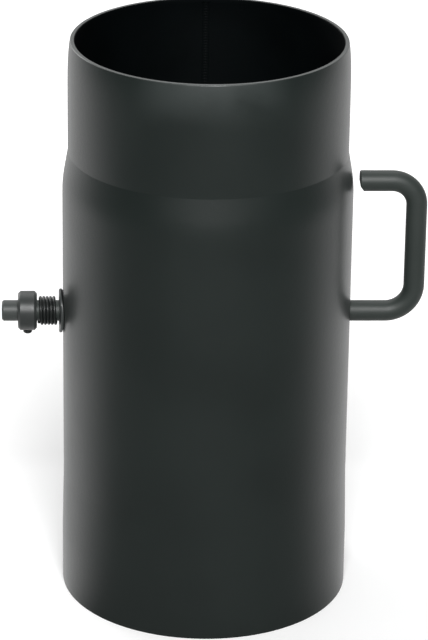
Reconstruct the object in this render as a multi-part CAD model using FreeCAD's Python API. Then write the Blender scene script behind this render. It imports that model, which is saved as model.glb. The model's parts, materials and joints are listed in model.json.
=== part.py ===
import FreeCAD, Part

import math
import os

# A flue pipe with a turning damper. Millimetres. Z runs up the flue, the damper rod lies along X,
# and the origin is the centre of the pipe's lower rim. The damper stands open, its handle upright.

# Pipe: rolled sheet with a welded seam, belled below, swaged down and drawn in above
bore_radius = 60.0
wall = 2.0
pipe_length = 250.0
socket_depth = 25.0
socket_flare = 0.6
socket_taper = 8.0
spigot_length = 48.8
spigot_straight = 17.0
spigot_lead_in = 1.0
spigot_clearance = 0.4
swage_length = 13.7
shoulder_bend_radius = 30.0
seam_width = 4.0
seam_height = 0.4
seam_root = 0.15
seam_stop = 20.0
seam_rim_gap = 1.0

# Rod: one round bar through both walls, bent up into the handle
rod_radius = 4.5
rod_height = 127.0
rod_clearance = 0.25
rod_tail = 7.0
rod_end_chamfer = 0.7
handle_reach = 27.4
handle_rise = 60.0
handle_tip_gap = 2.8
lower_bend_radius = 12.3
upper_bend_radius = 10.8
tip_crop_height = 3.4
tip_crop_depth = 2.0

# Damper disc, with a segment cut off so that it never shuts the flue
disc_gap = 1.0
disc_thickness = 2.0
disc_cut_height = 28.5
flat_end_gap = 0.5

# Bolts that hold the disc on the rod's flat
bolt_radius = 2.0
bolt_length = 10.0
bolt_spacing = 60.0
bolt_clearance = 0.25
bolt_head_height = 2.8
hex_across_flats = 7.0
nut_height = 3.2
nut_clearance = 0.05
nut_seat_depth = 1.3
nut_seat_margin = 0.5
lock_washer_clearance = 0.15
lock_washer_width = 1.5
lock_washer_thickness = 0.9
lock_washer_slit = 0.5

# Friction set on the rod's tail: bowed washer, coil spring, collar and its set screw
washer_radius = 9.5
washer_thickness = 1.2
washer_bow = 1.25
washer_clearance = 0.3
washer_seat_gap = 0.05
spring_outer_radius = 6.25
spring_wire_radius = 0.65
spring_wire_sides = 6
spring_runs_per_turn = 16
spring_turns = 5.3
spring_length = 9.2
spring_end_gap = 0.15
collar_radius = 8.5
collar_width = 8.0
collar_chamfer = 1.0
collar_clearance = 0.05
set_screw_radius = 2.0
set_screw_clearance = 0.05
set_screw_stand_out = 1.7
set_screw_chamfer = 0.5
set_screw_slot_width = 0.6
set_screw_slot_depth = 1.4
set_screw_seat_depth = 0.5
set_screw_seat_margin = 0.2

# Worked out from the sizes above
pipe_radius = bore_radius + wall
socket_top = socket_depth + socket_taper
spigot_radius = bore_radius - spigot_clearance
swage_top = pipe_length - spigot_length
swage_bottom = swage_top - swage_length
lead_in_start = swage_top + spigot_straight
rim_radius = spigot_radius - spigot_lead_in
handle_leg = pipe_radius + handle_reach
handle_tip = pipe_radius + handle_tip_gap
handle_top = rod_height + handle_rise
disc_radius = bore_radius - disc_gap
bolt_hole_radius = bolt_radius + bolt_clearance
bolt_places = (-bolt_spacing / 2, bolt_spacing / 2)
hex_corner_radius = hex_across_flats / math.sqrt(3)
nut_seat = rod_radius - nut_seat_depth
lock_washer_face = nut_seat + lock_washer_thickness
washer_seat = math.sqrt(pipe_radius ** 2 - washer_radius ** 2) + washer_seat_gap
washer_crest = washer_seat + washer_bow + washer_thickness
spring_start = washer_crest + spring_end_gap
spring_end = spring_start + spring_length
collar_inner_face = spring_end + spring_end_gap
collar_middle = collar_inner_face + collar_width / 2
collar_outer_face = collar_inner_face + collar_width
rod_tail_end = collar_outer_face + rod_tail
set_screw_tip = rod_radius - set_screw_seat_depth
set_screw_head = collar_radius + set_screw_stand_out

along_x = FreeCAD.Vector(1, 0, 0)
along_y = FreeCAD.Vector(0, 1, 0)
along_z = FreeCAD.Vector(0, 0, 1)


def point(x, y, z):
    return FreeCAD.Vector(x, y, z)


def rounded_edges(corners, radii):
    """Straight runs through the corners, each inner corner bent by a tangent arc or, at radius 0, sharp."""
    edges = []
    start = corners[0]
    for before, corner, after, radius in zip(corners, corners[1:], corners[2:], radii):
        back = (before - corner).normalize()
        ahead = (after - corner).normalize()
        half_angle = back.getAngle(ahead) / 2
        bend_start = corner + back * (radius / math.tan(half_angle))
        bend_end = corner + ahead * (radius / math.tan(half_angle))
        edges.append(Part.LineSegment(start, bend_start).toShape())
        if radius > 0:
            centre = corner + (back + ahead).normalize() * (radius / math.sin(half_angle))
            bend_middle = centre + (corner - centre).normalize() * radius
            edges.append(Part.Arc(bend_start, bend_middle, bend_end).toShape())
        start = bend_end
    edges.append(Part.LineSegment(start, corners[-1]).toShape())
    return edges


def closed_face(corners):
    return Part.Face(Part.makePolygon(corners + corners[:1]))


def wall_outline(depth):
    """The wall at a depth under its outer face, in the XZ plane from rim to rim, with its bend radii."""
    bell_radius = pipe_radius + socket_flare
    outer = [
        point(bell_radius, 0, 0),
        point(bell_radius, 0, socket_depth),
        point(pipe_radius, 0, socket_top),
        point(pipe_radius, 0, swage_bottom),
        point(spigot_radius, 0, swage_top),
        point(spigot_radius, 0, lead_in_start),
        point(rim_radius, 0, pipe_length),
    ]
    runs = [(after - before).normalize() for before, after in zip(outer, outer[1:])]
    inward = [point(-run.z, 0, run.x) for run in runs]
    mitres = [(one + other) / (1 + one.dot(other)) for one, other in zip(inward, inward[1:])]
    across_rim = point(1 / inward[-1].x, 0, 0)
    mitres = [inward[0]] + mitres + [across_rim]
    corners = [corner + mitre * depth for corner, mitre in zip(outer, mitres)]
    bends = [0, 0, shoulder_bend_radius - depth, 0, 0]
    return corners, bends


def seam_bead(corners, bends, height):
    """Weld bead swept up the back of the pipe. A negative height bulges into the bore."""
    route = [point(0, corner.x, corner.z) for corner in corners]
    spine = Part.Wire(rounded_edges(route, bends))
    start = route[0]
    half = seam_width / 2
    into_wall = -math.copysign(1, height)
    left_edge = start + point(-half, into_wall * seam_root, 0)
    right_edge = start + point(half, into_wall * seam_root, 0)
    left_root = start + point(-half, into_wall * wall / 2, 0)
    right_root = start + point(half, into_wall * wall / 2, 0)
    crown = Part.Arc(left_edge, start + point(0, height, 0), right_edge).toShape()
    base = Part.makePolygon([right_edge, right_root, left_root, left_edge])
    mitred = 1
    return spine.makePipeShell([Part.Wire([crown] + base.Edges)], True, False, mitred)


def pipe_body():
    """Tube wall: one rounded outline, inset by the sheet's thickness and turned round the flue's axis."""
    outer, outer_bends = wall_outline(0)
    inner, inner_bends = wall_outline(wall)
    lower_rim = Part.LineSegment(inner[0], outer[0]).toShape()
    upper_rim = Part.LineSegment(outer[-1], inner[-1]).toShape()
    loop = rounded_edges(outer, outer_bends) + rounded_edges(inner, inner_bends)
    loop += [lower_rim, upper_rim]
    section = Part.Face(Part.Wire(Part.sortEdges(loop)[0]))
    tube = section.revolve(point(0, 0, 0), along_z, 360)

    # The bead is dressed off at the ends that plug together: the bell and the outside of the spigot
    seam_start = point(0, 0, seam_stop)
    outer_seam = seam_bead([outer[2] + seam_start, outer[3] - seam_start], [], seam_height)
    down_from_rim = (inner[-2] - inner[-1]).normalize()
    inner_route = [inner[2] + seam_start] + inner[3:-1] + [inner[-1] + down_from_rim * seam_rim_gap]
    inner_seam = seam_bead(inner_route, inner_bends[2:], -seam_height)

    hole_start = point(-2 * pipe_radius, 0, rod_height)
    rod_hole = Part.makeCylinder(rod_radius + rod_clearance, 4 * pipe_radius, hole_start, along_x)
    return tube.fuse([outer_seam, inner_seam]).cut(rod_hole).removeSplitter()


def handle_rod():
    """Bent bar, milled to its axis for the disc, with seats for the nuts and the set screw."""
    route = [
        point(-rod_tail_end, 0, rod_height),
        point(handle_leg, 0, rod_height),
        point(handle_leg, 0, handle_top),
        point(handle_tip, 0, handle_top),
    ]
    spine = Part.Wire(rounded_edges(route, [lower_bend_radius, upper_bend_radius]))
    section = Part.Face(Part.Wire(Part.makeCircle(rod_radius, route[0], along_x)))
    bar = spine.makePipe(section)
    tail_edges = [edge for edge in bar.Edges if edge.BoundBox.XMax < -collar_outer_face]
    bar = bar.makeChamfer(rod_end_chamfer, tail_edges)

    across = 4 * rod_radius
    below = rod_height - across / 2
    flat_half = disc_radius + flat_end_gap
    seat_half = hex_corner_radius + nut_seat_margin
    cuts = [
        handle_tip_crop(),
        Part.makeBox(2 * flat_half, across, across, point(-flat_half, 0, below)),
    ]
    for x in bolt_places:
        seat_corner = point(x - seat_half, -nut_seat - across, below)
        cuts.append(Part.makeBox(2 * seat_half, across, across, seat_corner))
        hole_start = point(x, -across / 2, rod_height)
        cuts.append(Part.makeCylinder(bolt_hole_radius, across, hole_start, along_y))
    screw_seat_radius = set_screw_radius + set_screw_seat_margin
    screw_seat = point(-collar_middle, 0, rod_height - set_screw_tip)
    cuts.append(Part.makeCylinder(screw_seat_radius, across, screw_seat, -along_z))
    return bar.cut(cuts).removeSplitter()


def handle_tip_crop():
    """Wedge that takes the lower corner off the handle's sheared free end."""
    underside = handle_top - rod_radius
    front = -2 * rod_radius
    wedge = closed_face([
        point(handle_tip, front, underside + tip_crop_height),
        point(handle_tip + tip_crop_depth, front, underside),
        point(handle_tip - tip_crop_depth, front, underside - tip_crop_height),
    ])
    return wedge.extrude(along_y * (-2 * front))


def damper_disc():
    """Round plate on the rod's flat, with its upper segment cut off along a chord."""
    chord_height = disc_radius - disc_cut_height
    chord_half = math.sqrt(disc_radius ** 2 - chord_height ** 2)
    left = point(-chord_half, 0, rod_height + chord_height)
    right = point(chord_half, 0, rod_height + chord_height)
    bottom = point(0, 0, rod_height - disc_radius)
    rim = [Part.Arc(left, bottom, right).toShape(), Part.LineSegment(right, left).toShape()]
    plate = Part.Face(Part.Wire(rim)).extrude(along_y * disc_thickness)
    holes = [
        Part.makeCylinder(bolt_hole_radius, disc_thickness, point(x, 0, rod_height), along_y)
        for x in bolt_places
    ]
    return plate.cut(holes)


def hexagon(height, base, axis):
    ring = Part.makeCircle(hex_corner_radius, base, axis).discretize(7)
    return Part.Face(Part.makePolygon(ring)).extrude(axis * height)


def disc_bolts():
    bolts = []
    for x in bolt_places:
        under_head = point(x, disc_thickness, rod_height)
        head = hexagon(bolt_head_height, under_head, along_y)
        shank = Part.makeCylinder(bolt_radius, bolt_length, under_head, -along_y)
        bolts.append(head.fuse(shank).removeSplitter())
    return Part.makeCompound(bolts)


def disc_lock_washers():
    inner_radius = bolt_radius + lock_washer_clearance
    outer_radius = inner_radius + lock_washer_width
    washers = []
    for x in bolt_places:
        base = point(x, -lock_washer_face, rod_height)
        ring = Part.makeCylinder(outer_radius, lock_washer_thickness, base, along_y)
        hole = Part.makeCylinder(inner_radius, lock_washer_thickness, base, along_y)
        slit_corner = base - point(lock_washer_slit / 2, 0, 0)
        slit = Part.makeBox(lock_washer_slit, lock_washer_thickness, outer_radius, slit_corner)
        washers.append(ring.cut([hole, slit]))
    return Part.makeCompound(washers)


def disc_nuts():
    nuts = []
    for x in bolt_places:
        base = point(x, -lock_washer_face, rod_height)
        block = hexagon(nut_height, base, -along_y)
        hole = Part.makeCylinder(bolt_radius + nut_clearance, nut_height, base, -along_y)
        nuts.append(block.cut(hole))
    return Part.makeCompound(nuts)


def thrust_washer():
    """Bowed washer: its two side edges rest on the round wall and its crest carries the spring."""
    inner_radius = (washer_radius ** 2 + washer_bow ** 2) / (2 * washer_bow)
    bend_axis = point(inner_radius - washer_seat - washer_bow, 0, rod_height - washer_radius)
    strip = Part.makeCylinder(inner_radius + washer_thickness, 2 * washer_radius, bend_axis, along_z)
    hollow = Part.makeCylinder(inner_radius, 2 * washer_radius, bend_axis, along_z)
    start = point(-washer_crest - washer_thickness, 0, rod_height)
    depth = washer_bow + 3 * washer_thickness
    blank = Part.makeCylinder(washer_radius, depth, start, along_x)
    hole = Part.makeCylinder(rod_radius + washer_clearance, depth, start, along_x)
    return blank.common(strip).cut([hollow, hole])


def friction_spring():
    """Plain-ended coil lofted in short straight runs, its free end low beside the collar."""
    coil_radius = spring_outer_radius - spring_wire_radius
    coil_length = spring_length - 2 * spring_wire_radius
    start = point(spring_wire_radius - spring_end, 0, rod_height)
    full_turn = 2 * math.pi
    runs = math.ceil(spring_turns * spring_runs_per_turn)
    sections = []
    for step in range(runs + 1):
        share = step / runs
        angle = full_turn * spring_turns * share
        outward = point(0, math.sin(angle), -math.cos(angle))
        around = point(0, math.cos(angle), math.sin(angle)) * (full_turn * spring_turns * coil_radius)
        sideways = (around + along_x * coil_length).normalize().cross(outward)
        centre = start + along_x * (coil_length * share) + outward * coil_radius
        turns = [full_turn * side / spring_wire_sides for side in range(spring_wire_sides + 1)]
        spokes = [outward * math.cos(turn) + sideways * math.sin(turn) for turn in turns]
        sections.append(Part.makePolygon([centre + spoke * spring_wire_radius for spoke in spokes]))
    return Part.makeLoft(sections, True, True)


def set_collar():
    """Turned ring with chamfered edges and a cross hole below for its set screw."""
    bore = rod_radius + collar_clearance
    profile = closed_face([
        point(-collar_outer_face, 0, bore),
        point(-collar_outer_face, 0, collar_radius - collar_chamfer),
        point(-collar_outer_face + collar_chamfer, 0, collar_radius),
        point(-collar_inner_face - collar_chamfer, 0, collar_radius),
        point(-collar_inner_face, 0, collar_radius - collar_chamfer),
        point(-collar_inner_face, 0, bore),
    ])
    ring = profile.revolve(point(0, 0, 0), along_x, 360)
    hole_radius = set_screw_radius + set_screw_clearance
    hole = Part.makeCylinder(hole_radius, collar_radius, point(-collar_middle, 0, 0), -along_z)
    ring = ring.cut(hole)
    ring.translate(point(0, 0, rod_height))
    return ring


def set_screw():
    """Slotted headless screw, its flat tip on the rod's seat."""
    tip = point(-collar_middle, 0, rod_height - set_screw_tip)
    length = set_screw_head - set_screw_tip - set_screw_chamfer
    shank = Part.makeCylinder(set_screw_radius, length, tip, -along_z)
    end_radius = set_screw_radius - set_screw_chamfer
    end = Part.makeCone(set_screw_radius, end_radius, set_screw_chamfer, tip - along_z * length, -along_z)
    slot_corner = point(-collar_middle, 0, rod_height - set_screw_head)
    slot_corner -= point(set_screw_radius, set_screw_slot_width / 2, 0)
    slot = Part.makeBox(2 * set_screw_radius, set_screw_slot_width, set_screw_slot_depth, slot_corner)
    return shank.fuse(end).cut(slot).removeSplitter()


os.makedirs("parts", exist_ok=True)
for build_piece in (pipe_body, handle_rod, damper_disc, disc_bolts, disc_lock_washers, disc_nuts,
                    thrust_washer, friction_spring, set_collar, set_screw):
    build_piece().exportStep("parts/" + build_piece.__name__ + ".step")
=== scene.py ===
import json
import math

import bmesh
import bpy
from mathutils import Matrix, Vector


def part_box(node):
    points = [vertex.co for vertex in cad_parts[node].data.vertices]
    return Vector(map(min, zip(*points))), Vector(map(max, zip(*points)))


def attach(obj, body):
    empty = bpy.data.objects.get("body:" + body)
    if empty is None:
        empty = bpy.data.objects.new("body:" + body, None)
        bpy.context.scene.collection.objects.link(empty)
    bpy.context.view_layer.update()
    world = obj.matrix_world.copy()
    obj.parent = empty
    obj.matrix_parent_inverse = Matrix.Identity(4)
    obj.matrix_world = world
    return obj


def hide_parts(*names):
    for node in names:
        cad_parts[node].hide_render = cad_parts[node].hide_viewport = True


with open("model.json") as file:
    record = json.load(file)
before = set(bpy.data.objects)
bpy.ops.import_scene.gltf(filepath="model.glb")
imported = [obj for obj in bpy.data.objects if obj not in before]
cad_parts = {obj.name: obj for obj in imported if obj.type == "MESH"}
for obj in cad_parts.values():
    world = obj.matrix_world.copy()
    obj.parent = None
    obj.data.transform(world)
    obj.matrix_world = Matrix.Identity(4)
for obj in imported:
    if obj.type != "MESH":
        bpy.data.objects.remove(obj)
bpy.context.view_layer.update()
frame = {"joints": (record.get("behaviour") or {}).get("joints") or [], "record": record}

# a flue pipe with a disc damper on a bent rod: x runs along the rod, y to the back, z up the flue

mounts = {mount["name"]: mount for mount in frame["record"]["mounts"]}

mm = 0.001
fullTurn = 2 * math.pi
rodHeight = frame["joints"][0]["pos_m"][2]
rodLow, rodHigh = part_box("handle_rod")
rodRadius = (rodHigh.y - rodLow.y) / 2
collarLow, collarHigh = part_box("set_collar")
collarMiddle = (collarLow.x + collarHigh.x) / 2
axes = {  # across, up and along for each direction that a piece is turned about
    "x": (Vector((0, 1, 0)), Vector((0, 0, 1)), Vector((1, 0, 0))),
    "y": (Vector((0, 0, 1)), Vector((1, 0, 0)), Vector((0, 1, 0))),
    "z": (Vector((1, 0, 0)), Vector((0, 1, 0)), Vector((0, 0, 1))),
}


# shaders

class Wire:  # a shader socket, or just its tree: sums and products of values add their Math nodes
    def __init__(self, tree, socket=None):
        self.tree = tree
        self.socket = socket

    def node(self, kind, settings=None, inputs=None, output=0):
        new = self.tree.nodes.new("ShaderNode" + kind)
        for name, value in (settings or {}).items():
            setattr(new, name, value)
        for name, value in (inputs or {}).items():
            if isinstance(value, Wire):
                self.tree.links.new(value.socket, new.inputs[name])
            else:
                new.inputs[name].default_value = value
        return Wire(self.tree, new.outputs[output] if new.outputs else None)

    def mathNode(self, operation, first, second):
        return self.node("Math", {"operation": operation}, {0: first, 1: second})

    def __add__(self, other):
        return self.mathNode("ADD", self, other)

    def __sub__(self, other):
        return self.mathNode("SUBTRACT", self, other)

    def __mul__(self, other):
        return self.mathNode("MULTIPLY", self, other)

    def __rsub__(self, other):
        return self.mathNode("SUBTRACT", other, self)

    __radd__ = __add__
    __rmul__ = __mul__


cloudMiddle = 0.5  # what a cloud comes to on average
colourMix = {"factor": 0, "first": 6, "second": 7, "result": 2}  # a Mix node's colour sockets by number
rayNames = ("Is Camera Ray", "Is Glossy Ray", "Is Transmission Ray")


def rise(value, low, high):  # 0 up to low, 1 from high on, smooth between
    spread = {"Value": value, "From Min": low, "From Max": high}
    return value.node("MapRange", {"interpolation_type": "SMOOTHSTEP"}, spread)


def mixed(factor, first, second):
    inputs = {colourMix["factor"]: factor, colourMix["first"]: first, colourMix["second"]: second}
    return factor.node("Mix", {"data_type": "RGBA"}, inputs, colourMix["result"])


def cloud(coords, scale, detail):
    return coords.node("TexNoise", None, {"Vector": coords, "Scale": scale, "Detail": detail})


def component(vector, axis):
    return vector.node("SeparateXYZ", None, {"Vector": vector}, axis)


def rayKinds(start):  # whether a ray comes from the camera, off a glossy surface or through a clear one
    return [start.node("LightPath", output=name) for name in rayNames]


def relief(height, look):
    bump = {"Strength": look["relief"], "Distance": look["reliefDepth"], "Height": height}
    return height.node("Bump", None, bump)


def newMaterial(name):
    material = bpy.data.materials.new(name)
    material.use_nodes = True
    material.node_tree.nodes.clear()
    start = Wire(material.node_tree)
    return material, start, start.node("TexCoord", output="Object")


def surface(start, shader):
    start.node("OutputMaterial", None, {"Surface": shader})


# meshes

cutting = {"sides": 48, "weld": 0.002 * mm}  # sides of a drilled hole, and the gap that closes along a cut


def pick(value, angle):  # a size that is either fixed or changes around the piece
    return value(angle) if callable(value) else value


def placed(name, data):
    thing = bpy.data.objects.new(name, data)
    bpy.context.scene.collection.objects.link(thing)
    return thing


def skin(name, rings, loop=False):  # quads between rings of points, the ends capped or joined
    count = len(rings[0])
    points = [point for ring in rings for point in ring]
    faces = []
    for row in range(len(rings) if loop else len(rings) - 1):
        here = row * count
        there = (row + 1) % len(rings) * count
        for spot in range(count):
            beside = (spot + 1) % count
            faces.append((here + spot, here + beside, there + beside, there + spot))
    if not loop:
        faces.append(tuple(reversed(range(count))))
        faces.append(tuple(range(len(points) - count, len(points))))
    mesh = bpy.data.meshes.new(name)
    mesh.from_pydata(points, [], faces)
    work = bmesh.new()
    work.from_mesh(mesh)
    bmesh.ops.recalc_face_normals(work, faces=work.faces)
    work.to_mesh(mesh)
    work.free()
    return placed(name, mesh)


def turned(name, profile, centre, axis, sides, loop=False):  # (radius, height) pairs spun about an axis
    across, up, along = axes[axis]
    rings = []
    for radius, height in profile:
        ring = []
        for side in range(sides):
            angle = fullTurn * side / sides
            spoke = across * math.cos(angle) + up * math.sin(angle)
            ring.append(centre + along * pick(height, angle) + spoke * pick(radius, angle))
        rings.append(ring)
    return skin(name, rings, loop)


def bent(corners, radii, steps):  # the line through the corners, rounded by an arc at each inner one
    path = [corners[0]]
    for before, corner, after, radius in zip(corners, corners[1:], corners[2:], radii):
        back = (before - corner).normalized()
        ahead = (after - corner).normalized()
        half = back.angle(ahead) / 2
        centre = corner + (back + ahead).normalized() * (radius / math.sin(half))
        start = (corner + back * (radius / math.tan(half)) - centre).normalized()
        end = (corner + ahead * (radius / math.tan(half)) - centre).normalized()
        path += [centre + start.slerp(end, step / steps) * radius for step in range(steps + 1)]
    return path + [corners[-1]]


def divided(path, longest):  # extra points on the straight runs
    points = [path[0]]
    for before, after in zip(path, path[1:]):
        parts = math.ceil((after - before).length / longest)
        points += [before.lerp(after, part / parts) for part in range(1, parts + 1)]
    return points


def directions(path):
    ahead = [(after - before).normalized() for before, after in zip(path, path[1:])]
    middle = [(one + other).normalized() for one, other in zip(ahead, ahead[1:])]
    return [ahead[0]] + middle + [ahead[-1]]


def block(low, high):  # a plain cutter
    corners = [(low.x, low.y), (high.x, low.y), (high.x, high.y), (low.x, high.y)]
    return skin("cutter", [[Vector((x, y, z)) for x, y in corners] for z in (low.z, high.z)])


def drill(radius, start, end, axis):  # a round cutter
    reach = (end - start).dot(axes[axis][2])
    return turned("cutter", [(radius, 0), (radius, reach)], start, axis, cutting["sides"])


def carve(piece, cutters):
    for cutter in cutters:
        cut = piece.modifiers.new("cut", "BOOLEAN")
        cut.operation = "DIFFERENCE"
        cut.solver = "EXACT"
        cut.object = cutter
    bpy.context.view_layer.update()
    graph = bpy.context.evaluated_depsgraph_get()
    mesh = bpy.data.meshes.new_from_object(piece.evaluated_get(graph))
    work = bmesh.new()  # points that fall together along a cut become one
    work.from_mesh(mesh)
    bmesh.ops.remove_doubles(work, verts=work.verts, dist=cutting["weld"])
    manySided = [face for face in work.faces if len(face.verts) > 4]
    bmesh.ops.triangulate(work, faces=manySided)
    work.to_mesh(mesh)
    work.free()
    piece.modifiers.clear()
    piece.data = mesh
    mesh.name = piece.name
    for cutter in cutters:
        bpy.data.objects.remove(cutter)


def joined(name, pieces):  # several meshes as one piece
    work = bmesh.new()
    for piece in pieces:
        work.from_mesh(piece.data)
        bpy.data.objects.remove(piece)
    mesh = bpy.data.meshes.new(name)
    work.to_mesh(mesh)
    work.free()
    return placed(name, mesh)


def fitted(piece, node, body, material, sharp):  # edges show from the angle sharp, in degrees
    mesh = piece.data
    mesh.materials.clear()
    mesh.materials.append(material)
    mesh.polygons.foreach_set("use_smooth", [True] * len(mesh.polygons))
    mesh.set_sharp_from_angle(angle=math.radians(sharp))
    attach(piece, body)
    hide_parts(node)
    print("made", piece.name, len(mesh.polygons), "faces")


# finishes

stovePaint = {
    "tone": (0.0068, 0.0122, 0.0106, 1), "toneDark": (0.0056, 0.0104, 0.0090, 1),
    "patches": {"scale": 22, "detail": 3.0}, "patchEdge": (0.35, 0.65), "patchHaze": 0.04,
    "wearAndSheenTone": (0.0235, 0.0305, 0.0290, 1), "wearAndSheenHaze": 0.0,
    "wearAndSheen": {"scale": 45, "detail": 3.0}, "wearAndSheenEdge": (0.2, 0.6),
    "wearAndSheenRamps": (("Z", 229 * mm, 248 * mm), ("Y", -48 * mm, -58 * mm)),  # a lighter patch at the front of the upper rim: painted highlight over rub wear
    "grain": {"scale": 2600, "detail": 1.0}, "grainHaze": 0.12, "grainHeight": 0.6,
    "peel": {"scale": 420, "detail": 2.0}, "relief": 0.5, "reliefDepth": 0.09 * mm,
    "roughness": 0.48, "shine": 0.5, "film": 0.48, "filmRoughness": 0.27,
}
# the bore's paint is near black, far darker than the outside: painted shade for the dim inside of the tube
shadedInsidePaint = dict(
    stovePaint, tone=(0.0010, 0.0020, 0.0023, 1), toneDark=(0.0006, 0.0013, 0.0015, 1),
    wearAndSheenTone=(0.0012, 0.0022, 0.0025, 1), roughness=0.55, shine=0.08, film=0.0)
handlePaint = dict(
    stovePaint, tone=(0.028, 0.035, 0.032, 1), toneDark=(0.023, 0.030, 0.027, 1),
    wearAndSheenTone=(0.046, 0.052, 0.050, 1), wearAndSheenHaze=-0.05,
    wearAndSheenRamps=(("X", -80 * mm, -82 * mm),),  # at the tail
    roughness=0.52, film=0.0)


def paintFinish(name, look):
    material, start, coords = newMaterial(name)
    grain = cloud(coords, **look["grain"])
    peel = cloud(coords, **look["peel"])
    patches = rise(cloud(coords, **look["patches"]), *look["patchEdge"])
    # lighter patches along the ramps: on the pipe paint a painted highlight at the front of the upper rim,
    # on the handle wear at the tail
    wearAndSheen = rise(cloud(coords, **look["wearAndSheen"]), *look["wearAndSheenEdge"])
    for axis, low, high in look["wearAndSheenRamps"]:
        wearAndSheen = wearAndSheen * rise(component(coords, axis), low, high)
    tone = mixed(patches, look["toneDark"], look["tone"])
    haze = (grain - cloudMiddle) * look["grainHaze"] + (patches - cloudMiddle) * look["patchHaze"]
    shader = start.node("BsdfPrincipled", None, {
        "Base Color": mixed(wearAndSheen, tone, look["wearAndSheenTone"]),
        "Roughness": look["roughness"] + haze + wearAndSheen * look["wearAndSheenHaze"],
        "Specular IOR Level": look["shine"],
        "Coat Weight": look["film"],
        "Coat Roughness": look["filmRoughness"],
        "Normal": relief(grain * look["grainHeight"] + peel, look)})
    surface(start, shader)
    return material


blackSteel = {
    "tone": (0.029, 0.033, 0.032, 1), "worn": (0.058, 0.064, 0.062, 1),
    "smears": {"scale": 160, "detail": 2.0}, "smearEdge": (0.45, 0.8), "smearShare": 0.35,
    "grain": {"scale": 900, "detail": 3.0}, "grainHaze": 0.2, "relief": 0.3, "reliefDepth": 0.025 * mm,
    "roughness": 0.42, "shine": 0.5,
}
washerSteel = dict(
    blackSteel, tone=(0.038, 0.043, 0.042, 1), worn=(0.090, 0.098, 0.097, 1), roughness=0.36)
springSteel = dict(blackSteel, tone=(0.009, 0.0110, 0.0105, 1), worn=(0.022, 0.025, 0.024, 1))


def steelFinish(name, look):
    material, start, coords = newMaterial(name)
    grain = cloud(coords, **look["grain"])
    smears = rise(cloud(coords, **look["smears"]), *look["smearEdge"])
    shader = start.node("BsdfPrincipled", None, {
        "Base Color": mixed(smears * look["smearShare"], look["tone"], look["worn"]),
        "Roughness": look["roughness"] + (grain - cloudMiddle) * look["grainHaze"],
        "Specular IOR Level": look["shine"],
        "Normal": relief(grain, look)})
    surface(start, shader)
    return material


zincPlate = {
    "tone": (0.55, 0.56, 0.57, 1), "dull": (0.36, 0.37, 0.38, 1),
    "clouding": {"scale": 240, "detail": 3.0}, "cloudingEdge": (0.35, 0.7), "cloudingShare": 0.7,
    "spangle": 1400, "spangleHaze": 0.12,
    "grain": {"scale": 1400, "detail": 2.0}, "relief": 0.25, "reliefDepth": 0.004 * mm,
    "roughness": 0.38,
}


def zincFinish(name, look):
    material, start, coords = newMaterial(name)
    spangle = start.node("TexVoronoi", None, {"Vector": coords, "Scale": look["spangle"]}, "Color")
    shade = start.node("SeparateColor", None, {"Color": spangle}, "Red")
    clouding = rise(cloud(coords, **look["clouding"]), *look["cloudingEdge"])
    shader = start.node("BsdfPrincipled", None, {
        "Base Color": mixed(clouding * look["cloudingShare"], look["tone"], look["dull"]),
        "Roughness": look["roughness"] + shade * look["spangleHaze"],
        "Metallic": 1.0,
        "Normal": relief(cloud(coords, **look["grain"]), look)})
    surface(start, shader)
    return material


paint = paintFinish("stove_paint", stovePaint)
shadedInnerPaint = paintFinish("stove_paint_inside_painted_shade", shadedInsidePaint)
barPaint = paintFinish("stove_paint_handle", handlePaint)
steel = steelFinish("blackened_steel", blackSteel)
rubbedSteel = steelFinish("blackened_washer_steel", washerSteel)
darkSteel = steelFinish("blackened_spring_steel", springSteel)
zinc = zincFinish("zinc_steel", zincPlate)
print("finishes ready")


# flue tube

flue = {
    "radius": 62.0 * mm, "wall": 2.0 * mm, "rimRound": 0.5 * mm, "footRound": 0.3 * mm,
    "bellEnd": 25 * mm, "bellTaperEnd": 53 * mm, "bellBend": 200 * mm,
    "shoulder": 187.5 * mm, "shoulderBend": 55 * mm, "creaseBend": 1.2 * mm,
    "leadIn": 1.0 * mm, "leadInCurl": 5, "leadInSteps": 16,
    "holeClearance": 0.25 * mm, "insideLean": 0.2,  # faces that lean inwards more take the inside paint, a near-black painted shade
    "sides": 288, "rowHeight": 4 * mm, "bendSteps": 6, "rimSteps": 4, "sharp": 25,
}
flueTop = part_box("pipe_body")[1].z
spigotRadius = mounts["spigot"]["dims"]["r_mm"] * mm
spigotStraightTop = mounts["spigot"]["pos_m"][2]
creaseHeight = spigotStraightTop - mounts["spigot"]["dims"]["length_mm"] * mm
bellRadius = mounts["socket"]["dims"]["r_mm"] * mm + flue["wall"]


def flueOutline(depth):  # the wall at a depth under its outer face, lower rim to upper, as (radius, height)
    outer = [
        Vector((bellRadius, flue["footRound"])), Vector((bellRadius, flue["bellEnd"])),
        Vector((flue["radius"], flue["bellTaperEnd"])), Vector((flue["radius"], flue["shoulder"])),
        Vector((spigotRadius, creaseHeight)), Vector((spigotRadius, spigotStraightTop)),
    ]
    bends = [flue["bellBend"], flue["bellBend"], flue["shoulderBend"] - depth, flue["creaseBend"] + depth]
    ahead = [(after - before).normalized() for before, after in zip(outer, outer[1:])]
    inward = [Vector((-run.y, run.x)) for run in ahead]
    mitres = [(one + other) / (1 + one.dot(other)) for one, other in zip(inward, inward[1:])]
    mitres = [inward[0]] + mitres + [inward[-1]]
    corners = [corner + mitre * depth for corner, mitre in zip(outer, mitres)]
    outline = bent(corners, bends, flue["bendSteps"])
    leadInLength = flueTop - flue["rimRound"] - spigotStraightTop
    for step in range(1, flue["leadInSteps"] + 1):  # the last stretch curls in towards the rim
        share = step / flue["leadInSteps"]
        drawnIn = flue["leadIn"] * share ** flue["leadInCurl"]
        outline.append(Vector((spigotRadius - depth - drawnIn, spigotStraightTop + leadInLength * share)))
    return outline


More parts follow.
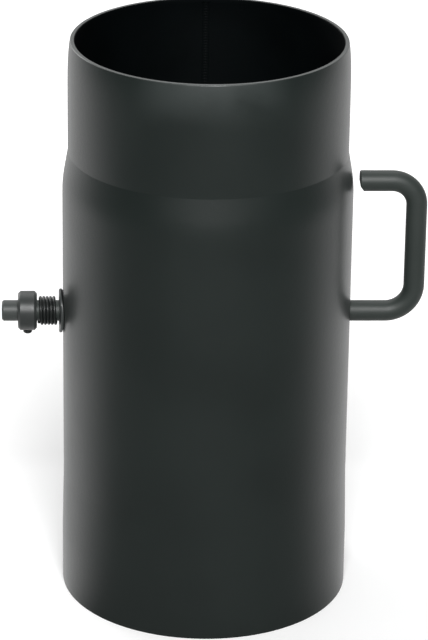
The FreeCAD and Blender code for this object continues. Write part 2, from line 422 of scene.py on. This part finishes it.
def rimRounding(start, end, height, radius):  # the two rounded edges of a rim, between start and end
    corners = [start, Vector((start.x, height)), Vector((end.x, height)), end]
    return bent(corners, [radius, radius], flue["rimSteps"])[2:-2]


def makeFlue():
    outer = flueOutline(0)
    inner = flueOutline(flue["wall"])
    profile = divided(outer, flue["rowHeight"])
    profile += rimRounding(outer[-1], inner[-1], flueTop, flue["rimRound"])
    profile += reversed(divided(inner, flue["rowHeight"]))
    profile += rimRounding(inner[0], outer[0], 0, flue["footRound"])
    tube = turned("flue_tube", profile, Vector(), "z", flue["sides"], True)
    reach = 2 * flue["radius"]
    hole = rodRadius + flue["holeClearance"]
    carve(tube, [drill(hole, Vector((-reach, 0, rodHeight)), Vector((reach, 0, rodHeight)), "x")])
    fitted(tube, "pipe_body", "pipe", paint, flue["sharp"])
    # the bore and the inner rim take the near-black inside paint: painted shade
    tube.data.materials.append(shadedInnerPaint)
    for face in tube.data.polygons:
        outward = Vector((face.center.x, face.center.y, 0)).normalized()
        face.material_index = 1 if face.normal.dot(outward) < -flue["insideLean"] else 0


bead = {
    "width": 4 * mm, "crown": 0.4 * mm, "root": 0.15 * mm, "embed": 0.8 * mm,
    "ripple": 0.07 * mm, "pitch": 1.3 * mm, "bow": 1.1 * mm, "step": 0.26 * mm, "halfSteps": 5,
    "start": 53 * mm, "outerEnd": 167.5 * mm, "rimGap": 1.0 * mm, "sharp": 50,
}


def weldBead(name, line, facing, finish):  # facing is 1 on the outside of the flue and -1 inside
    path = divided(line, bead["step"])
    half = bead["width"] / 2
    steps = bead["halfSteps"]
    rings = []
    for row, (spot, run) in enumerate(zip(path, directions(path))):
        outward = Vector((run.y, -run.x)) * facing
        ring = []
        for place in range(-steps, steps + 1):
            share = place / steps
            swell = 1 - share * share
            along = row * bead["step"] + share * share * bead["bow"]
            wave = math.sin(fullTurn * along / bead["pitch"]) - 1  # ripples dip below the crown
            lift = swell * (bead["crown"] + bead["root"] + wave * bead["ripple"]) - bead["root"]
            point = spot + outward * lift
            ring.append(Vector((share * half, point.x, point.y)))
        for share in (1, -1):
            point = spot - outward * bead["embed"]
            ring.append(Vector((share * half, point.x, point.y)))
        rings.append(ring)
    fitted(skin(name, rings), "pipe_body", "pipe", finish, bead["sharp"])


def makeBeads():
    outside = [Vector((flue["radius"], bead[end])) for end in ("start", "outerEnd")]
    weldBead("seam_bead_outside", outside, 1, paint)
    boreStart = Vector((flue["radius"] - flue["wall"], bead["start"]))
    inside = [spot for spot in flueOutline(flue["wall"]) if spot.y > boreStart.y]
    inside[-1] -= Vector((0, bead["rimGap"]))
    weldBead("seam_bead_inside", [boreStart] + inside, -1, shadedInnerPaint)


# handle rod

handle = {
    "tailChamfer": 0.7 * mm, "tipGap": 2.8 * mm, "lowerBend": 12.3 * mm, "upperBend": 10.8 * mm,
    "cropHeight": 3.4 * mm, "cropDepth": 2.0 * mm, "tipRound": 0.35 * mm,
    "flatHalf": 59.5 * mm, "boltSpacing": 60 * mm, "boltHole": 2.25 * mm,
    "nutSeat": 3.2 * mm, "nutSeatHalf": 4.55 * mm, "screwSeat": 2.2 * mm, "screwSeatFloor": 4.0 * mm,
    "sides": 64, "bendSteps": 20, "sharp": 30,
}
boltPlaces = (-handle["boltSpacing"] / 2, handle["boltSpacing"] / 2)


def boltDrill(x, reach):
    return drill(handle["boltHole"], Vector((x, -reach, rodHeight)), Vector((x, reach, rodHeight)), "y")


def screwDrill(radius, low, high):
    return drill(radius, Vector((collarMiddle, 0, low)), Vector((collarMiddle, 0, high)), "z")


def makeHandle():
    leg = rodHigh.x - rodRadius
    top = rodHigh.z - rodRadius
    tip = flue["radius"] + handle["tipGap"]
    route = [
        Vector((rodLow.x, 0, rodHeight)), Vector((leg, 0, rodHeight)),
        Vector((leg, 0, top)), Vector((tip, 0, top)),
    ]
    path = bent(route, [handle["lowerBend"], handle["upperBend"]], handle["bendSteps"])
    path.insert(1, path[0] + Vector((handle["tailChamfer"], 0, 0)))
    path.insert(-1, path[-1] + Vector((handle["tipRound"], 0, 0)))
    radii = [rodRadius] * len(path)
    radii[0] -= handle["tailChamfer"]
    radii[-1] -= handle["tipRound"]
    angles = [fullTurn * side / handle["sides"] for side in range(handle["sides"])]
    across = Vector((0, 1, 0))
    rings = []
    for spot, run, radius in zip(path, directions(path), radii):
        up = run.cross(across)
        rings.append([spot + (across * math.cos(angle) + up * math.sin(angle)) * radius for angle in angles])
    rod = skin("handle_bar", rings)

    clear = 4 * rodRadius  # far enough for a cutter to pass the rod
    low = rodHeight - clear
    high = rodHeight + clear
    under = top - rodRadius
    cropLow = under - handle["cropHeight"]
    cropHigh = under + handle["cropHeight"]
    wedge = [
        (tip, cropHigh), (tip + handle["cropDepth"], under), (tip + handle["cropDepth"], cropLow),
        (tip - handle["cropDepth"], cropLow), (tip - handle["cropDepth"], cropHigh),
    ]
    cutters = [
        skin("cutter", [[Vector((x, y, z)) for x, z in wedge] for y in (-clear, clear)]),
        block(Vector((-handle["flatHalf"], 0, low)), Vector((handle["flatHalf"], clear, high))),
        screwDrill(handle["screwSeat"], low, rodHeight - handle["screwSeatFloor"]),
    ]
    seat = handle["nutSeatHalf"]
    for x in boltPlaces:
        cutters.append(block(Vector((x - seat, -clear, low)), Vector((x + seat, -handle["nutSeat"], high))))
        cutters.append(boltDrill(x, clear))
    carve(rod, cutters)
    fitted(rod, "handle_rod", "damper", barPaint, handle["sharp"])


# damper disc

disc = {"cutHeight": 28.5 * mm, "edgeRound": 0.25 * mm, "arcPoints": 200, "sharp": 30}
discLow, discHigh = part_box("damper_disc")
discRadius = rodHeight - discLow.z


def makeDisc():
    rings = []
    edge = disc["edgeRound"]
    for inset, y in ((edge, discLow.y), (0, discLow.y + edge), (0, discHigh.y - edge), (edge, discHigh.y)):
        radius = discRadius - inset
        chord = discRadius - disc["cutHeight"] - inset
        start = math.asin(chord / radius)
        sweep = math.pi + 2 * start
        ring = []
        for step in range(disc["arcPoints"] + 1):
            angle = start - sweep * step / disc["arcPoints"]
            ring.append(Vector((radius * math.cos(angle), y, rodHeight + radius * math.sin(angle))))
        rings.append(ring)
    plate = skin("damper_plate", rings)
    carve(plate, [boltDrill(x, discRadius) for x in boltPlaces])
    fitted(plate, "damper_disc", "damper", paint, disc["sharp"])


# fasteners

thread = {  # steep flanks with a flat crest, in so many rows for each turn
    "pitch": 0.7 * mm, "depth": 0.32 * mm, "steep": 2.6, "flat": 0.15, "rows": 8,
}
hexes = {"flats": 7 * mm, "face": 0.93, "tilt": 30, "sides": 96, "sharp": 28}
hexFace = hexes["flats"] / 2 * hexes["face"]  # radius of the turned face


def hexRadius(angle):
    sixth = fullTurn / 6
    return hexes["flats"] / 2 / math.cos(angle % sixth - sixth / 2)


def hexEdge(height, facing):  # where the turned chamfer meets the six sides
    slope = math.tan(math.radians(hexes["tilt"]))
    return lambda angle: height - facing * (hexRadius(angle) - hexFace) * slope


def threadRows(radius, start, end, chamfer):  # (radius, height) rows of a screw thread from start to end
    reach = end - start
    count = round(abs(reach) / thread["pitch"] * thread["rows"])
    rows = []
    for row in range(count + 1):
        height = start + reach * row / count
        limit = radius - max(0, chamfer - abs(end - height))

        def groove(angle, height=height, limit=limit):
            turn = (height / thread["pitch"] - angle / fullTurn) % 1
            fall = thread["steep"] * abs(turn - 0.5) - thread["flat"]
            return min(radius - thread["depth"] * min(1, max(0, fall)), limit)

        rows.append((groove, height))
    return rows


bolt = {"radius": 2.0 * mm, "endChamfer": 0.5 * mm}
boltLow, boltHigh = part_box("disc_bolts")


def makeBolts():
    headHeight = boltHigh.y - discHigh.y
    shankEnd = boltLow.y - discHigh.y
    profile = [
        (hexFace, headHeight), (hexRadius, hexEdge(headHeight, 1)), (hexRadius, 0), (bolt["radius"], 0),
    ]
    profile += threadRows(bolt["radius"], 0, shankEnd, bolt["endChamfer"])[1:]
    bolts = []
    for x in boltPlaces:
        under = Vector((x, discHigh.y, rodHeight))
        bolts.append(turned("bolt", profile, under, "y", hexes["sides"]))
    fitted(joined("disc_bolt_pair", bolts), "disc_bolts", "damper", zinc, hexes["sharp"])


nut = {"clearance": 0.05 * mm, "flare": 0.3 * mm}
nutLow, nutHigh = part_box("disc_nuts")


def makeNuts():
    hole = bolt["radius"] + nut["clearance"]
    flare = nut["flare"]
    deep = nutHigh.y - nutLow.y
    profile = [
        (hole, flare), (hole + flare, 0), (hexFace, 0), (hexRadius, hexEdge(0, -1)),
        (hexRadius, hexEdge(deep, 1)), (hexFace, deep), (hole + flare, deep), (hole, deep - flare),
    ]
    nuts = []
    for x in boltPlaces:
        under = Vector((x, nutLow.y, rodHeight))
        nuts.append(turned("nut", profile, under, "y", hexes["sides"], True))
    fitted(joined("disc_nut_pair", nuts), "disc_nuts", "damper", zinc, hexes["sharp"])


lockWasher = {
    "inner": 2.15 * mm, "width": 1.5 * mm, "slit": 0.5 * mm, "edge": 0.12 * mm, "steps": 72, "sharp": 35,
}
lockLow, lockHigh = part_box("disc_lock_washers")


def makeLockWashers():
    thick = lockHigh.y - lockLow.y
    edge = lockWasher["edge"]
    inner = lockWasher["inner"]
    outer = inner + lockWasher["width"]
    section = [
        (inner + edge, 0), (outer - edge, 0), (outer, edge), (outer, thick - edge),
        (outer - edge, thick), (inner + edge, thick), (inner, thick - edge), (inner, edge),
    ]
    gap = lockWasher["slit"] / outer
    washers = []
    for x in boltPlaces:
        rings = []
        for step in range(lockWasher["steps"] + 1):
            angle = gap / 2 + (fullTurn - gap) * step / lockWasher["steps"]
            spoke = Vector((math.sin(angle), 0, math.cos(angle)))
            rings.append([Vector((x, lockLow.y + y, rodHeight)) + spoke * radius for radius, y in section])
        washers.append(skin("washer", rings))
    pair = joined("lock_washer_pair", washers)
    fitted(pair, "disc_lock_washers", "damper", zinc, lockWasher["sharp"])


# friction set on the rod's tail

washer = {
    "thickness": 1.2 * mm, "bow": 1.25 * mm, "clearance": 0.3 * mm, "edge": 0.3 * mm,
    "sides": 120, "steps": 6, "sharp": 40,
}
washerLow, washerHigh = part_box("thrust_washer")


def makeWasher():  # a flat ring bowed about an upright axis, so that it sits on the round wall
    radius = (washerHigh.y - washerLow.y) / 2
    bow = washer["bow"]
    edge = washer["edge"]
    bendInner = (radius ** 2 + bow ** 2) / (2 * bow)
    bendOuter = bendInner + washer["thickness"]
    bendAxis = washerLow.x + bendOuter
    hole = rodRadius + washer["clearance"]
    width = radius - hole - 2 * edge
    stations = [hole + edge + width * step / washer["steps"] for step in range(washer["steps"] + 1)]
    section = [(reach, bendOuter) for reach in stations]
    section += [(radius, bendOuter - edge), (radius, bendInner + edge)]
    section += [(reach, bendInner) for reach in reversed(stations)]
    section += [(hole, bendInner + edge), (hole, bendOuter - edge)]
    rings = []
    for reach, bend in section:
        ring = []
        for side in range(washer["sides"]):
            angle = fullTurn * side / washer["sides"]
            y = reach * math.cos(angle)
            x = bendAxis - math.sqrt(bend ** 2 - y ** 2)
            ring.append(Vector((x, y, rodHeight + reach * math.sin(angle))))
        rings.append(ring)
    bowed = skin("bowed_washer", rings, True)
    fitted(bowed, "thrust_washer", "pipe", rubbedSteel, washer["sharp"])


spring = {
    "wire": 0.65 * mm, "turns": 5.3, "endRound": 0.1 * mm,
    "stepsPerTurn": 72, "wireSides": 20, "sharp": 50,
}
springLow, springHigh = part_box("friction_spring")


def makeSpring():
    wire = spring["wire"]
    coil = (springHigh.z - springLow.z) / 2 - wire
    start = springLow.x + wire
    length = springHigh.x - springLow.x - 2 * wire
    steps = round(spring["turns"] * spring["stepsPerTurn"])
    angles = [fullTurn * side / spring["wireSides"] for side in range(spring["wireSides"])]
    rings = []
    for step in range(steps + 1):
        share = step / steps
        turn = fullTurn * spring["turns"] * share
        outward = Vector((0, math.sin(turn), -math.cos(turn)))
        around = Vector((0, math.cos(turn), math.sin(turn))) * (fullTurn * spring["turns"] * coil)
        sideways = (around + Vector((length, 0, 0))).normalized().cross(outward)
        centre = Vector((start + length * share, 0, rodHeight)) + outward * coil
        thick = wire - spring["endRound"] if step in (0, steps) else wire
        spokes = [outward * math.cos(angle) + sideways * math.sin(angle) for angle in angles]
        rings.append([centre + spoke * thick for spoke in spokes])
    coiled = skin("coil_spring", rings)
    fitted(coiled, "friction_spring", "damper", darkSteel, spring["sharp"])


collar = {
    "clearance": 0.05 * mm, "chamfer": 1.0 * mm, "edge": 0.12 * mm, "screwHole": 2.05 * mm,
    "sides": 128, "sharp": 30,
}


def makeCollar():
    radius = (collarHigh.y - collarLow.y) / 2
    bore = rodRadius + collar["clearance"]
    wide = collarHigh.x - collarLow.x
    chamfer = collar["chamfer"]
    edge = collar["edge"]
    profile = [
        (bore, edge), (bore + edge, 0), (radius - chamfer, 0), (radius, chamfer),
        (radius, wide - chamfer), (radius - chamfer, wide), (bore + edge, wide), (bore, wide - edge),
    ]
    ring = turned("stop_collar", profile, Vector((collarLow.x, 0, rodHeight)), "x", collar["sides"], True)
    carve(ring, [screwDrill(collar["screwHole"], rodHeight - 2 * radius, rodHeight)])
    fitted(ring, "set_collar", "damper", steel, collar["sharp"])


screw = {
    "radius": 2.0 * mm, "chamfer": 0.5 * mm, "slotWidth": 0.6 * mm, "slotDepth": 1.4 * mm,
    "sides": 40, "sharp": 28,
}
screwLow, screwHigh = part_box("set_screw")


def makeScrew():
    length = screwHigh.z - screwLow.z
    rows = threadRows(screw["radius"], 0, -length, screw["chamfer"])
    shank = turned("grub_screw", rows, Vector((collarMiddle, 0, screwHigh.z)), "z", screw["sides"])
    half = screw["slotWidth"] / 2
    reach = 2 * screw["radius"]
    slotLow = Vector((collarMiddle - reach, -half, screwLow.z - length))
    slotHigh = Vector((collarMiddle + reach, half, screwLow.z + screw["slotDepth"]))
    carve(shank, [block(slotLow, slotHigh)])
    fitted(shank, "set_screw", "damper", steel, screw["sharp"])


makeFlue()
makeBeads()
makeHandle()
makeDisc()
makeBolts()
makeNuts()
makeLockWashers()
makeWasher()
makeSpring()
makeCollar()
makeScrew()


# floor, light and camera

black = (0, 0, 0, 1)
white = (1, 1, 1, 1)
surround = {"back": 1.0, "gap": (0.93, 1.0), "gapDrop": 0.6}  # the room as glossy paint shows it


def roomLevel(depth, front, edge):  # dark in front, light from the sides on, dimmer straight behind
    level = front + rise(depth, *edge) * (surround["back"] - front)
    return level - rise(depth, *surround["gap"]) * surround["gapDrop"]


floor = {
    "half": 12.0, "pale": (0.86, 0.86, 0.86, 1),
    "glow": 0.18, "glowSteps": ((0.10, 0.36, 0.32), (0.40, 2.00, 0.50)),  # from, to, how much lighter
    "mirrorShift": (0.014, 0.03, 0), "mirrorReach": (0.55, 1.35),
    "mirrorNear": {"front": 0.17, "edge": (-0.36, 0.5)},
    "mirrorFar": {"front": 0.02, "edge": (0.05, 0.85)},
}


def makeFloor():
    half = floor["half"]
    corners = [(-half, -half, 0), (half, -half, 0), (half, half, 0), (-half, half, 0)]
    mesh = bpy.data.meshes.new("floor")
    mesh.from_pydata(corners, [], [(0, 1, 2, 3)])
    material, start, coords = newMaterial("pale_floor")
    seen, glossy, through = rayKinds(start)
    away = start.node("VectorMath", {"operation": "LENGTH"}, {0: coords}, "Value")
    spread = floor["glow"]
    for low, high, lighter in floor["glowSteps"]:
        spread = rise(away, low, high) * lighter + spread
    diffuse = start.node("BsdfDiffuse", None, {"Color": floor["pale"]})
    glow = start.node("Emission", None, {"Color": mixed((seen + through) * spread, black, white)})
    lit = start.node("AddShader", None, {0: diffuse, 1: glow})
    # what glossy paint sees of the floor: lighter near the pipe than far off
    shifted = start.node("VectorMath", {"operation": "ADD"}, {0: coords, 1: floor["mirrorShift"]})
    depth = component(start.node("VectorMath", {"operation": "NORMALIZE"}, {0: shifted}), "Y")
    near = roomLevel(depth, **floor["mirrorNear"])
    far = roomLevel(depth, **floor["mirrorFar"])
    distant = rise(away, *floor["mirrorReach"])
    mirrored = start.node("Emission", None, {"Color": mixed(near + distant * (far - near), black, white)})
    surface(start, start.node("MixShader", None, {0: glossy, 1: lit, 2: mirrored}))
    mesh.materials.append(material)
    placed("floor", mesh)


studio = {"fill": 0.20, "mirror": {"front": 0.02, "edge": (0.05, 0.85)}}


def makeWorld():
    world = bpy.data.worlds.new("studio")
    bpy.context.scene.world = world
    world.use_nodes = True
    world.node_tree.nodes.clear()
    start = Wire(world.node_tree)
    seen, glossy, through = rayKinds(start)
    depth = component(start.node("TexCoord", output="Generated"), "Y")
    mirrored = start.mathNode("MINIMUM", glossy + through, 1.0)
    unseen = mirrored * roomLevel(depth, **studio["mirror"]) + (1 - mirrored) * studio["fill"]
    sky = start.node("Background", None, {"Color": mixed(seen + (1 - seen) * unseen, black, white)})
    start.node("OutputWorld", None, {"Surface": sky})


lamps = {
    "key": {"place": (0.04, -1.34, 1.18), "size": 0.6, "power": 31.0},
    "overhead": {"place": (0.0, 0.65, 1.4), "size": 1.2, "power": 6.0},
    "rear": {"place": (-0.95, 1.0, 0.75), "size": 0.5, "power": 6.0},
}


def makeLamps():
    aim = Vector((0, 0, flueTop / 2))
    for name, lamp in lamps.items():
        data = bpy.data.lights.new(name, "AREA")
        data.shape = "SQUARE"
        data.size = lamp["size"]
        data.energy = lamp["power"]
        light = placed(name, data)
        light.location = lamp["place"]
        light.rotation_euler = (aim - light.location).to_track_quat("-Z", "Y").to_euler()


view = {  # angles in degrees, "focal" and "aimPixel" in pixels of the picture
    "aim": (0, 0, 125 * mm), "distance": 1471.6 * mm, "pitch": 22.979, "turn": -1.85, "roll": 0.706,
    "focal": 3402.1, "aimPixel": (206.4, 314.64), "picture": (428, 640), "sensor": 36.0,
}


def makeCamera():
    pitch = math.radians(view["pitch"])
    turn = math.radians(view["turn"])
    roll = Matrix.Rotation(math.radians(view["roll"]), 3, "Z")
    wide, tall = view["picture"]
    aimAcross, aimDown = view["aimPixel"]
    away = Vector((math.cos(pitch) * math.sin(turn), -math.cos(pitch) * math.cos(turn), math.sin(pitch)))
    data = bpy.data.cameras.new("camera")
    data.sensor_width = view["sensor"]
    data.lens = view["focal"] / tall * view["sensor"]
    data.shift_x = (wide / 2 - aimAcross) / tall
    data.shift_y = (aimDown - tall / 2) / tall
    camera = placed("camera", data)
    tilt = (-away).to_track_quat("-Z", "Y").to_matrix() @ roll
    camera.matrix_world = Matrix.Translation(Vector(view["aim"]) + away * view["distance"]) @ tilt.to_4x4()
    bpy.context.scene.camera = camera


makeFloor()
makeWorld()
makeLamps()
makeCamera()
bpy.context.scene.view_settings.view_transform = "Standard"
print("floor, light and camera ready")
